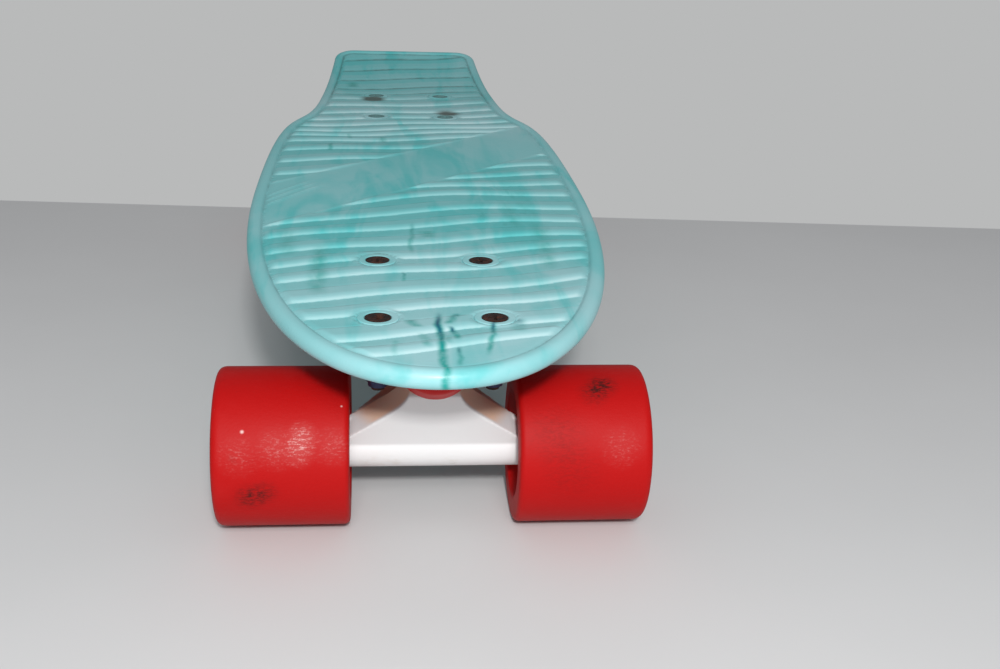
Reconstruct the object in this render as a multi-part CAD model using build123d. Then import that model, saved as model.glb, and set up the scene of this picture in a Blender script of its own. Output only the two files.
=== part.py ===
"""A small moulded-plastic cruiser skateboard: deck, two steering trucks and four wheels.

Millimetres, +Z up. The origin is on the floor under the middle of the deck. The board lies along Y with its
nose at -Y. Each truck is drawn once in a frame of its own, with +Y pointing outboard, away from the middle
of the board, and is then set under the nose and, turned half round, under the tail.
"""
import os
from math import asin, atan2, cos, degrees, hypot, pi, radians, sin

from build123d import *

# Deck
deck_length = 559.0
deck_half_width = 78.3
deck_top = 89.6
rim_thickness = 7.1
rim_width = 6.4
rim_round = 3.4
field_depth = 1.0
skin_thickness = 3.6
pad_thickness = 11.0
pad_margin = 2.0
kick_length = 102.5
kick_radius = 460.0
widest_from_nose = 225.0
nose_fullness = 38.0
front_side_fullness = 176.5
rear_side_fullness = 197.0
shoulder_softness = 102.5
tail_length = 118.5
tail_root_half_width = 56.4
tail_end_half_width = 49.2
tail_corner_radius = 14.0

# Ridges and band on the top
ridge_base_width = 9.0
ridge_crest_width = 2.6
ridge_root = 0.3
ridge_pitch = 19.5
ridge_wave = 2.6
ridge_wave_length = 84.0
ridge_drift = 4.3
ridge_tilt = 0.26
ridge_smile = 0.004
ridge_inset = 2.4
ridge_points = 7
band_width = 51.0
band_middle_y = -16.0
band_angle = 45.0
band_height = 0.5
boss_radius = 7.4

# Ribs on the underside
rib_thickness = 2.6
rib_pitch_x = 28.0
rib_pitch_y = 36.0

# Truck screws
hole_pitch_x = 41.3
hole_pitch_y = 63.5
screw_radius = 2.4
screw_head_radius = 4.7
screw_head_height = 2.7
screw_sink = 0.5
screw_end_below_nut = 1.4
recess_width = 1.2
recess_span = 5.0
recess_depth = 1.2
nut_across_flats = 8.0
nut_height = 6.2
nut_hex_share = 0.72
nut_collar_ratio = 0.45
hole_clearance = 0.3

# Places along the board: middles of the two screw patterns
front_truck_from_nose = 81.5
rear_truck_from_tail = 141.5

# Wheels and axle
wheel_radius = 30.0
wheel_width = 49.7
wheel_inner_x = 30.9
wheel_outer_round = 6.0
wheel_inner_round = 2.0
wheel_inner_recess_radius = 20.5
wheel_outer_recess_radius = 16.0
wheel_dish = 1.5
bearing_seat_rim = 2.5
axle_radius = 4.0
axle_offset = 13.0
axle_end_past_nut = 2.0
axle_nut_flats = 13.0
axle_nut_height = 7.0
axle_washer_radius = 6.0
axle_washer_thickness = 1.0

# Ball bearings
bearing_radius = 11.0
bearing_width = 7.0
bearing_outer_wall = 1.8
bearing_inner_wall = 2.2
ball_radius = 1.98
ball_count = 7
ball_clearance = 0.05
shield_thickness = 0.4
shield_gap = 0.3
spacer_length = 10.0
spacer_radius = 5.4

# Baseplate
plate_width = 58.0
plate_length = 86.0
plate_thickness = 9.0
plate_corner = 10.0

# Steering pivot: a ball at the outboard end, a ring round the kingpin at the inboard end
pivot_y = 32.0
pivot_z = 67.5
ring_y = -6.0
ring_z = 42.0
ball_end_radius = 5.5
ball_end_clearance = 0.06
pivot_neck_radius = 4.6
cup_radius = 7.2
cup_mouth = 5.0
cup_back = 6.4
housing_radius = 14.5
housing_lift = 5.8
housing_round = 4.0
housing_wall = 2.8
neck_gap = 2.5

# Kingpin and bushings
kingpin_lean = 15.0
kingpin_radius = 4.75
kingpin_head_flats = 14.0
kingpin_head_height = 6.0
kingpin_head_sink = 3.0
kingpin_nut_flats = 14.0
kingpin_nut_height = 7.0
kingpin_past_nut = 1.5
ring_radius = 17.5
ring_hole_radius = 8.5
ring_thickness = 9.0
ring_seat_depth = 1.5
bushing_radius = 12.0
bushing_tip_radius = 9.0
bushing_seat_gap = 0.3
upper_bushing_height = 13.0
lower_bushing_height = 10.0
bushing_washer_thickness = 1.6
upper_washer_radius = 12.0
lower_washer_radius = 11.0
seat_radius = 13.5

# Hanger
hanger_length = 82.0
tube_radius = 8.5
arm_thickness = 12.0
arm_gap = 4.0
arm_root_inset = 0.5
arm_root_height = 3.0
arm_waist_half_width = 12.0
arm_waist_height = 26.0
arm_tip_half_width = 8.3
wing_half_width = 33.0

# Heights and stations worked out from the sizes above
field_floor = deck_top - field_depth
screw_top = deck_top - screw_sink
pad_bottom = deck_top - pad_thickness
plate_bottom = pad_bottom - plate_thickness
axle_z = wheel_radius
nose_y = -deck_length / 2
tail_y = deck_length / 2
kick_start = tail_y - kick_length
front_truck_y = nose_y + front_truck_from_nose
rear_truck_y = tail_y - rear_truck_from_tail
run_y = pivot_y - ring_y
run_z = pivot_z - ring_z
pivot_angle = degrees(atan2(run_z, run_y))
pivot_span = hypot(run_y, run_z)
screw_spots = [(x * hole_pitch_x / 2, y * hole_pitch_y / 2) for x in (-1, 1) for y in (-1, 1)]
inner_bearing_x = hanger_length / 2 + axle_washer_thickness
outer_bearing_x = inner_bearing_x + bearing_width + spacer_length
axle_nut_x = outer_bearing_x + bearing_width + axle_washer_thickness
axle_half_length = axle_nut_x + axle_nut_height + axle_end_past_nut
upper_washer_t = ring_thickness / 2 - ring_seat_depth + upper_bushing_height
seat_t = upper_washer_t + bushing_washer_thickness
lower_washer_t = -(ring_thickness / 2 - ring_seat_depth + lower_bushing_height) - bushing_washer_thickness
kingpin_nut_t = lower_washer_t - kingpin_nut_height
kingpin_head_t = (pad_bottom - ring_z) / cos(radians(kingpin_lean)) - kingpin_head_height - kingpin_head_sink

UP = (Align.CENTER, Align.CENTER, Align.MIN)
pivot_axis = Plane(
    origin=(0, pivot_y, pivot_z),
    x_dir=(1, 0, 0),
    z_dir=(0, cos(radians(pivot_angle)), sin(radians(pivot_angle))),
)
kingpin_axis = Plane(
    origin=(0, ring_y, ring_z),
    x_dir=(1, 0, 0),
    z_dir=(0, sin(radians(kingpin_lean)), cos(radians(kingpin_lean))),
)


def rod(radius, start, end, hole=0.0):
    """A round bar, or a tube if it has a hole, along local Z from start to end."""
    bar = Pos(0, 0, start) * Cylinder(radius, end - start, align=UP)
    if hole:
        bar -= Pos(0, 0, start) * Cylinder(hole, end - start, align=UP)
    return bar


def hexagon(across_flats, start, end):
    """A hexagonal bar along local Z from start to end."""
    corner_radius = across_flats / 2 / cos(pi / 6)
    return Pos(0, 0, start) * extrude(RegularPolygon(corner_radius, 6), end - start)


def lock_nut(across_flats, height, hole):
    """Hexagon nut with a round locking collar, standing on the origin along +Z."""
    nut = hexagon(across_flats, 0, nut_hex_share * height)
    return nut + rod(nut_collar_ratio * across_flats, 0, height) - rod(hole, 0, height)


def along_x(shape, side=1):
    """Turn a shape drawn along Z so that it points along X, to the given side, on the axle's line."""
    return Pos(0, axle_offset, axle_z) * Rot(0, 90 * side, 0) * shape


def deck_layer(low, high):
    """Slab that follows the deck's side profile, between two heights measured from the deck's top.

    It is flat from the nose to the kick and then bends up along an arc to the tail.
    """
    reach = deck_length
    centre_z = deck_top + kick_radius
    outer = kick_radius - low
    inner = kick_radius - high
    start_outer = (kick_start, deck_top + low)
    start_inner = (kick_start, deck_top + high)
    turn = 2 * asin((tail_y - kick_start) / kick_radius)
    end_outer = (kick_start + outer * sin(turn), centre_z - outer * cos(turn))
    end_inner = (kick_start + inner * sin(turn), centre_z - inner * cos(turn))
    edges = [
        Line((-reach, deck_top + low), start_outer),
        RadiusArc(start_outer, end_outer, -outer),
        Line(end_outer, end_inner),
        RadiusArc(end_inner, start_inner, inner),
        Line(start_inner, (-reach, deck_top + high)),
        Line((-reach, deck_top + high), (-reach, deck_top + low)),
    ]
    profile = Plane.YZ * make_face(edges)
    return extrude(profile, reach / 2, both=True)


def deck_sides(inset=0.0):
    """Right-hand edges of the deck's plan, drawn in from the outline by the given inset.

    Two smooth curves meet at the widest place and are followed by the tail's straight taper.
    """
    tip = (0, nose_y + inset)
    half = deck_half_width - inset
    middle = nose_y + widest_from_nose
    root = Vector(tail_root_half_width - inset, tail_y - tail_length)
    end = Vector(tail_end_half_width - inset, tail_y - inset)
    soft = (end - root).normalized() * shoulder_softness
    return [
        Bezier(tip, (nose_fullness - inset, tip[1]), (half, middle - front_side_fullness), (half, middle)),
        Bezier((half, middle), (half, middle + rear_side_fullness), root - soft, root),
        Line(root, end),
    ]


def deck_outline(inset=0.0):
    """Plan of the deck: round nose, full sides, soft shoulders and a square-cut tail."""
    sides = deck_sides(inset)
    end = sides[-1] @ 1
    sides.append(Line(end, (0, end.Y)))
    plan = make_face(sides + [mirror(edge, Plane.YZ) for edge in sides])
    corners = plan.vertices().filter_by(lambda v: v.Y > end.Y - 1 and abs(v.X) > 1)
    return fillet(corners, tail_corner_radius - inset)


def half_width_at(y, inset):
    """Half the width of the inset plan at a place along the deck."""
    for edge in deck_sides(inset):
        low, high = 0.0, 1.0
        if not (edge @ low).Y <= y <= (edge @ high).Y:
            continue
        for _ in range(30):
            middle = (low + high) / 2
            if (edge @ middle).Y < y:
                low = middle
            else:
                high = middle
        return (edge @ low).X
    return 0.0


def field_plane(y):
    """Plane that touches the sunk field at a place along the deck, tilted where the tail kicks up."""
    radius = kick_radius + field_depth
    turn = asin(max(0.0, y - kick_start) / radius)
    height = deck_top + kick_radius - radius * cos(turn)
    return Plane(origin=(0, y, height), x_dir=(1, 0, 0), z_dir=(0, -sin(turn), cos(turn)))


def ridge_spans(middle, tilt):
    """Stretches across the deck that one ridge covers: from rim to rim, broken by the plain band."""
    reach = half_width_at(middle, rim_width + ridge_inset)
    band_half = band_width / 2 / cos(radians(band_angle))
    offset_y = middle - band_middle_y
    band_left = (offset_y - band_half) / (1 - tilt)
    band_right = (offset_y + band_half) / (1 - tilt)
    spans = [(-reach, min(reach, band_left)), (max(-reach, band_right), reach)]
    return [span for span in spans if span[1] - span[0] > ridge_base_width]


def make_ridges(middle):
    """One wavy ridge near the given place along the deck, with sloping flanks and a narrow crest."""
    back = (middle - nose_y) / deck_length
    tilt = ridge_tilt * (1 - back)
    smile = ridge_smile * back**3

    def strip(start, end, width, height):
        """Plan of the ridge at one height, between two wavy edges."""
        edges = []
        for side in (-width / 2, width / 2):
            points = []
            for k in range(ridge_points):
                x = start + (end - start) * k / (ridge_points - 1)
                wave = ridge_wave * sin(2 * pi * x / ridge_wave_length + ridge_drift * back)
                points.append((x, tilt * x + smile * x * x + wave + side))
            edges.append(Spline(points))
        near, far = edges
        return Pos(0, 0, height) * make_face([near, far, Line(near @ 0, far @ 0), Line(near @ 1, far @ 1)])

    ridges = []
    for start, end in ridge_spans(middle, tilt):
        foot = strip(start, end, ridge_base_width, -ridge_root)
        crest = strip(start + ridge_root, end - ridge_root, ridge_crest_width, field_depth)
        ridges.append(field_plane(middle) * loft([foot, crest], ruled=True))
    return ridges


def truck_spots():
    """Places of all eight truck screws on the deck."""
    return [(x, y + truck) for truck in (front_truck_y, rear_truck_y) for x, y in screw_spots]


def make_deck():
    """Deck with rim, sunk field, wavy ridges, plain band, screw bosses and a ribbed underside."""
    plan = deck_outline()
    tall = 3 * deck_top
    body = extrude(plan, tall) & deck_layer(-rim_thickness, 0)
    seam = [e for e in body.edges() if e.bounding_box().size.X > 1.5 * tail_end_half_width
            and abs(e.center().Y - kick_start) < 1]
    rim_edges = [e for e in body.edges() if e not in seam and abs((e % 0.5).Z) < 0.5]
    body = fillet(rim_edges, rim_round)

    field = deck_outline(rim_width)
    body -= extrude(field, tall) & deck_layer(-field_depth, field_depth)

    band = Pos(0, band_middle_y) * Rot(0, 0, band_angle) * Rectangle(deck_length, band_width)
    band = extrude(band, tall) & extrude(deck_outline(rim_width + ridge_inset), tall)
    raised = [band & deck_layer(-field_depth, band_height - field_depth)]
    raised += [Pos(*spot, field_floor) * Cylinder(boss_radius, field_depth, align=UP) for spot in truck_spots()]
    for k in range(int(deck_length / ridge_pitch)):
        raised += make_ridges(nose_y + ridge_pitch * (k + 0.9))
    body += raised

    pads = Sketch() + [
        Pos(0, y) * RectangleRounded(plate_width + 2 * pad_margin, plate_length + 2 * pad_margin, plate_corner)
        for y in (front_truck_y, rear_truck_y)
    ]
    columns = int(deck_half_width / rib_pitch_x)
    rows = int(deck_length / rib_pitch_y / 2)
    ribs = [Pos(k * rib_pitch_x, 0) * Rectangle(rib_thickness, deck_length) for k in range(-columns, columns + 1)]
    ribs += [Pos(0, k * rib_pitch_y) * Rectangle(2 * deck_half_width, rib_thickness) for k in range(-rows, rows + 1)]
    hollows = field - (pads + ribs)
    body -= extrude(hollows, tall) & deck_layer(-2 * rim_thickness, -field_depth - skin_thickness)
    body += Pos(0, 0, pad_bottom) * extrude(pads, pad_thickness - field_depth - skin_thickness / 2)

    hole = rod(screw_radius + hole_clearance, 0, tall)
    hole += rod(screw_head_radius + hole_clearance, screw_top, tall)
    hole += Pos(0, 0, screw_top) * Rot(180, 0, 0) * screw_head(hole_clearance)
    return body - [Pos(*spot) * hole for spot in truck_spots()]


def screw_head(gap=0.0):
    """Countersunk head, from its flat top at the origin down along +Z."""
    return Cone(screw_head_radius + gap, screw_radius + gap, screw_head_height + gap, align=UP)


def make_screws(truck_y):
    """The four screws that hold one truck."""
    end = plate_bottom - nut_height - screw_end_below_nut
    one = rod(screw_radius, end, screw_top - screw_head_height / 2)
    one += Pos(0, 0, screw_top) * Rot(180, 0, 0) * screw_head()
    recess = Rectangle(recess_width, recess_span) + Rectangle(recess_span, recess_width)
    one -= Pos(0, 0, screw_top - recess_depth) * extrude(recess, recess_span)
    return Compound([Pos(x, y + truck_y) * one for x, y in screw_spots])


def make_nuts(truck_y):
    """The four lock nuts on one truck's screws."""
    one = Pos(0, 0, plate_bottom) * Rot(180, 0, 0) * lock_nut(nut_across_flats, nut_height, screw_radius)
    return Compound([Pos(x, y + truck_y) * one for x, y in screw_spots])


def make_baseplate():
    """Flange with the pivot housing and the leaning kingpin seat moulded under it."""
    flange = RectangleRounded(plate_width, plate_length, plate_corner)
    plate = Pos(0, 0, plate_bottom) * extrude(flange, plate_thickness)
    housing = Pos(0, -housing_lift, 0) * rod(housing_radius, -cup_mouth, cup_back + housing_wall)
    housing = fillet(housing.edges().sort_by(Axis.Z)[-1:], housing_round)
    plate += pivot_axis * housing
    plate += kingpin_axis * rod(seat_radius, seat_t, kingpin_head_t + kingpin_head_height)
    plate -= Pos(0, 0, pad_bottom) * Box(2 * plate_width, 2 * plate_length, deck_top, align=UP)
    plate -= pivot_axis * rod(cup_radius, -2 * cup_mouth, cup_back)
    plate -= kingpin_axis * rod(kingpin_radius, 0, deck_top)
    plate -= kingpin_axis * hexagon(kingpin_head_flats, kingpin_head_t, deck_top)
    return plate - [Pos(*spot) * rod(screw_radius + hole_clearance, 0, deck_top) for spot in screw_spots]


def make_pivot_cup():
    """Soft cup in the baseplate that holds the ball end of the hanger's pivot arm."""
    bore = ball_end_radius + ball_end_clearance
    cup = rod(cup_radius, -cup_mouth, cup_back)
    cup -= rod(bore, -2 * cup_mouth, 0)
    cup -= Sphere(bore)
    return pivot_axis * cup


def make_kingpin():
    """Bolt through the baseplate and the hanger's ring."""
    pin = rod(kingpin_radius, kingpin_nut_t - kingpin_past_nut, kingpin_head_t)
    pin += hexagon(kingpin_head_flats, kingpin_head_t, kingpin_head_t + kingpin_head_height)
    return kingpin_axis * pin


def make_kingpin_nut():
    """Lock nut that sets how tightly the bushings are squeezed."""
    nut = lock_nut(kingpin_nut_flats, kingpin_nut_height, kingpin_radius)
    return kingpin_axis * Pos(0, 0, lower_washer_t) * Rot(180, 0, 0) * nut


def make_upper_bushing():
    """Barrel-shaped bushing between the baseplate and the ring."""
    start = upper_washer_t - upper_bushing_height
    return kingpin_axis * rod(bushing_radius, start, upper_washer_t, kingpin_radius + bushing_seat_gap)


def make_lower_bushing():
    """Cone-shaped bushing between the ring and the kingpin's nut."""
    cone = Cone(bushing_tip_radius, bushing_radius, lower_bushing_height, align=UP)
    cone -= rod(kingpin_radius + bushing_seat_gap, 0, lower_bushing_height)
    return kingpin_axis * Pos(0, 0, lower_washer_t + bushing_washer_thickness) * cone


def make_bushing_washer(start, radius):
    """Flat steel washer against one bushing."""
    return kingpin_axis * rod(radius, start, start + bushing_washer_thickness, kingpin_radius)


def make_hanger():
    """Hanger: axle tube, flared pivot arm with its ball end, and wings that carry the ring."""
    body = along_x(rod(tube_radius, -hanger_length / 2, hanger_length / 2))

    neck_t = -cup_mouth - neck_gap
    neck = pivot_axis.from_local_coords(Vector(0, 0, neck_t))
    rise = Vector(0, neck.Y - axle_offset, neck.Z - axle_z)
    arm_plane = Plane(
        origin=(0, axle_offset, axle_z), x_dir=(1, 0, 0), z_dir=Vector(1, 0, 0).cross(rise).normalized())
    root = (hanger_length / 2 - arm_root_inset, arm_root_height)
    waist = (arm_waist_half_width, arm_waist_height)
    tip = (arm_tip_half_width, rise.length + arm_thickness / 2)
    flank = Bezier(root, waist, (arm_tip_half_width, arm_waist_height), tip)
    top = Line(tip, (-tip[0], tip[1]))
    foot = Line((-root[0], root[1]), root)
    arm = arm_plane * make_face([flank, top, mirror(flank, Plane.YZ), foot])
    body += extrude(arm, arm_thickness / 2, both=True)
    body -= pivot_axis * Pos(0, 0, neck_t) * Cylinder(2 * ring_radius, 2 * cup_back, align=UP)
    body -= Pos(0, 0, plate_bottom - arm_gap) * Box(2 * hanger_length, 2 * plate_length, deck_top, align=UP)
    body += pivot_axis * rod(pivot_neck_radius, neck_t - ball_end_radius, 0)
    body += pivot_axis * Sphere(ball_end_radius)

    lean = radians(kingpin_lean)
    wing_reach = (axle_offset - ring_y) / cos(lean)
    flare = make_face(Polyline(
        (-ring_radius, 0), (ring_radius, 0), (wing_half_width, wing_reach), (-wing_half_width, wing_reach),
        close=True))
    wings = extrude(flare + Circle(ring_radius), ring_thickness / 2, both=True)
    body += kingpin_axis * wings
    seat = bushing_radius + bushing_seat_gap
    hollow = rod(ring_hole_radius, -ring_thickness, ring_thickness)
    hollow += rod(seat, ring_thickness / 2 - ring_seat_depth, seat_t)
    hollow += rod(seat, lower_washer_t, ring_seat_depth - ring_thickness / 2)
    body -= kingpin_axis * hollow
    body -= along_x(rod(axle_radius, -hanger_length, hanger_length))
    return body


def make_axle():
    """Steel rod through the hanger."""
    return along_x(rod(axle_radius, -axle_half_length, axle_half_length))


def both_sides(shape):
    """Copies of a shape drawn along the axle, one on each side."""
    return [along_x(shape, side) for side in (-1, 1)]


def make_axle_nuts():
    """Lock nut at each end of the axle."""
    nut = Pos(0, 0, axle_nut_x) * lock_nut(axle_nut_flats, axle_nut_height, axle_radius)
    return Compound(both_sides(nut))


def make_axle_washers():
    """Small washers on both sides of each wheel's pair of bearings."""
    places = (hanger_length / 2, axle_nut_x - axle_washer_thickness)
    washers = [rod(axle_washer_radius, x, x + axle_washer_thickness, axle_radius) for x in places]
    return Compound([piece for washer in washers for piece in both_sides(washer)])


def make_spacers():
    """Sleeves that keep the two inner rings of each wheel apart."""
    start = inner_bearing_x + bearing_width
    return Compound(both_sides(rod(spacer_radius, start, start + spacer_length, axle_radius)))


def ball_groove(x):
    """Ring-shaped groove in which one bearing's balls run."""
    pitch_radius = (axle_radius + bearing_inner_wall + bearing_radius - bearing_outer_wall) / 2
    return Pos(0, 0, x + bearing_width / 2) * Torus(pitch_radius, ball_radius + ball_clearance)


def make_inner_rings():
    """Inner rings of the four bearings on one axle."""
    rings = []
    for x in (inner_bearing_x, outer_bearing_x):
        ring = rod(axle_radius + bearing_inner_wall, x, x + bearing_width, axle_radius)
        rings += both_sides(ring - ball_groove(x))
    return Compound(rings)


def make_outer_rings(side):
    """Outer rings of the two bearings in one wheel."""
    rings = []
    for x in (inner_bearing_x, outer_bearing_x):
        ring = rod(bearing_radius, x, x + bearing_width, bearing_radius - bearing_outer_wall)
        rings.append(along_x(ring - ball_groove(x), side))
    return Compound(rings)


def make_balls(side):
    """Balls of the two bearings in one wheel."""
    pitch_radius = (axle_radius + bearing_inner_wall + bearing_radius - bearing_outer_wall) / 2
    balls = []
    for x in (inner_bearing_x, outer_bearing_x):
        for k in range(ball_count):
            turn = 2 * pi * k / ball_count
            spot = Pos(pitch_radius * cos(turn), pitch_radius * sin(turn), x + bearing_width / 2)
            balls.append(along_x(spot * Sphere(ball_radius), side))
    return Compound(balls)


def make_shields(side):
    """Thin steel shields pressed into the outer rings, two to a bearing."""
    hole = axle_radius + bearing_inner_wall + shield_gap
    shields = []
    for x in (inner_bearing_x, outer_bearing_x):
        for start in (x + shield_thickness, x + bearing_width - 2 * shield_thickness):
            shield = rod(bearing_radius - bearing_outer_wall, start, start + shield_thickness, hole)
            shields.append(along_x(shield, side))
    return Compound(shields)


def make_wheel(side):
    """Wide wheel with a round outer shoulder, hollow sides and two bearing seats."""
    inner = wheel_inner_x
    outer = wheel_inner_x + wheel_width
    seat = bearing_radius
    hub_hole = bearing_radius - bearing_outer_wall
    hollow = bearing_radius + bearing_seat_rim
    near_seat = inner_bearing_x
    far_seat = outer_bearing_x + bearing_width
    shoulder = wheel_radius - wheel_outer_round
    lip = wheel_radius - wheel_inner_round
    outline = [
        Line((lip, inner), (wheel_inner_recess_radius, inner)),
        Line((wheel_inner_recess_radius, inner), (hollow, near_seat)),
        Polyline((hollow, near_seat), (seat, near_seat), (seat, near_seat + bearing_width)),
        Line((seat, near_seat + bearing_width), (hub_hole, near_seat + bearing_width)),
        Line((hub_hole, near_seat + bearing_width), (hub_hole, outer_bearing_x)),
        Polyline((hub_hole, outer_bearing_x), (seat, outer_bearing_x), (seat, far_seat), (hollow, far_seat)),
        Line((hollow, far_seat), (wheel_outer_recess_radius, outer - wheel_dish)),
        Line((wheel_outer_recess_radius, outer - wheel_dish), (shoulder, outer)),
        RadiusArc((shoulder, outer), (wheel_radius, outer - wheel_outer_round), wheel_outer_round),
        Line((wheel_radius, outer - wheel_outer_round), (wheel_radius, inner + wheel_inner_round)),
        RadiusArc((wheel_radius, inner + wheel_inner_round), (lip, inner), wheel_inner_round),
    ]
    profile = Plane.XZ * make_face([edge for line in outline for edge in line.edges()])
    return along_x(revolve(profile, Axis.Z), side)


def make_truck(end, place):
    """All nodes of one truck, set at its place under the deck."""
    nodes = {
        "baseplate": make_baseplate(),
        "pivot_cup": make_pivot_cup(),
        "kingpin": make_kingpin(),
        "kingpin_nut": make_kingpin_nut(),
        "upper_bushing": make_upper_bushing(),
        "lower_bushing": make_lower_bushing(),
        "upper_bushing_washer": make_bushing_washer(upper_washer_t, upper_washer_radius),
        "lower_bushing_washer": make_bushing_washer(lower_washer_t, lower_washer_radius),
        "hanger": make_hanger(),
        "axle": make_axle(),
        "axle_nuts": make_axle_nuts(),
        "axle_washers": make_axle_washers(),
        "bearing_spacers": make_spacers(),
        "bearing_inner_rings": make_inner_rings(),
    }
    for name, side in (("left", -1), ("right", 1)):
        local = side if place.orientation.Z == 0 else -side
        nodes[f"{name}_wheel"] = make_wheel(local)
        nodes[f"{name}_bearing_outer_rings"] = make_outer_rings(local)
        nodes[f"{name}_bearing_balls"] = make_balls(local)
        nodes[f"{name}_bearing_shields"] = make_shields(local)
    return {f"{end}_{name}": place * shape for name, shape in nodes.items()}


def make_all():
    """Every node of the skateboard by name."""
    nodes = {"deck": make_deck()}
    for end, truck_y, turn in (("front", front_truck_y, 180), ("rear", rear_truck_y, 0)):
        nodes[f"{end}_deck_screws"] = make_screws(truck_y)
        nodes[f"{end}_deck_nuts"] = make_nuts(truck_y)
        nodes |= make_truck(end, Pos(0, truck_y, 0) * Rot(0, 0, turn))
    return nodes


if __name__ == "__main__":
    os.makedirs("parts", exist_ok=True)
    for node, shape in make_all().items():
        export_step(shape, f"parts/{node}.step")
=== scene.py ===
"""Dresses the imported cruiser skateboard: moulded deck, trucks, wheels, hardware and a plain stage.

The file is laid out as an add-on and run as a script. Lengths are in metres, with MM for those that are
easier to read in millimetres. The board lies along Y with its nose at -Y, and its wheels stand on z = 0.
"""

import bmesh
import bpy
import numpy as np
from bpy.props import FloatProperty, FloatVectorProperty, IntProperty, PointerProperty
from mathutils import Matrix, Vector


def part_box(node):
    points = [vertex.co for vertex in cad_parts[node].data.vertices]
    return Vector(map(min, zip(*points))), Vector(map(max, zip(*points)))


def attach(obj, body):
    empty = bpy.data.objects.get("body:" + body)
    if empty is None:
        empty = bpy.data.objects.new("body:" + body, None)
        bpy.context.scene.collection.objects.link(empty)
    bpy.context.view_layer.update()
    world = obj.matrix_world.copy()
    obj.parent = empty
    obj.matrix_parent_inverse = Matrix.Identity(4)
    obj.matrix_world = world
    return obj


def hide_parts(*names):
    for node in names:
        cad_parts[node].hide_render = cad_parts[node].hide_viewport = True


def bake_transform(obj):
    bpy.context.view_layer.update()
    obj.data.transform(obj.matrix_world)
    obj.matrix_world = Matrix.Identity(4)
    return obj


bl_info = {
    "name": "Cruiser skateboard",
    "version": (1, 0, 0),
    "blender": (4, 5, 0),
    "location": "3D View > Sidebar > Cruiser",
    "description": "Builds a small moulded-plastic cruiser skateboard over its packed solids",
    "category": "Add Mesh",
}

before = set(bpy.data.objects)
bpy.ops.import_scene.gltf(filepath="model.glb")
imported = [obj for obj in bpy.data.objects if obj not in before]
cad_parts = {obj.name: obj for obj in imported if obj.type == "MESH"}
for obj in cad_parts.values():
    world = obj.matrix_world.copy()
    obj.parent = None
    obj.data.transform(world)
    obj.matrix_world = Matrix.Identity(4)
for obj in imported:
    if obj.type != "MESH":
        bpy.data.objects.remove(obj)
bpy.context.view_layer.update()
MM = 0.001
ENDS = ("front", "rear")
SIDES = ("left", "right")


def srgb(red, green, blue):
    """Linear colour for a screen colour of 0 to 255."""
    c = np.array((red, green, blue)) / 255
    return tuple(float(v) for v in np.where(c <= 0.04045, c / 12.92, ((c + 0.055) / 1.055) ** 2.4))


def length(name, description, default):
    """A length setting in metres."""
    return FloatProperty(name=name, description=description, default=default, unit="LENGTH",
                         subtype="DISTANCE")


def number(name, description, default):
    """A setting that is a plain number."""
    return FloatProperty(name=name, description=description, default=default)


def angle(name, description, degrees):
    """An angle setting, given in degrees."""
    return FloatProperty(name=name, description=description, default=np.radians(degrees), subtype="ANGLE")


def point(name, description, default):
    """A place in metres."""
    return FloatVectorProperty(name=name, description=description, default=default, size=3, unit="LENGTH")


def colour(name, description, default):
    """A colour setting."""
    return FloatVectorProperty(name=name, description=description, default=default, size=3, subtype="COLOR",
                               min=0, max=1)


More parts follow.
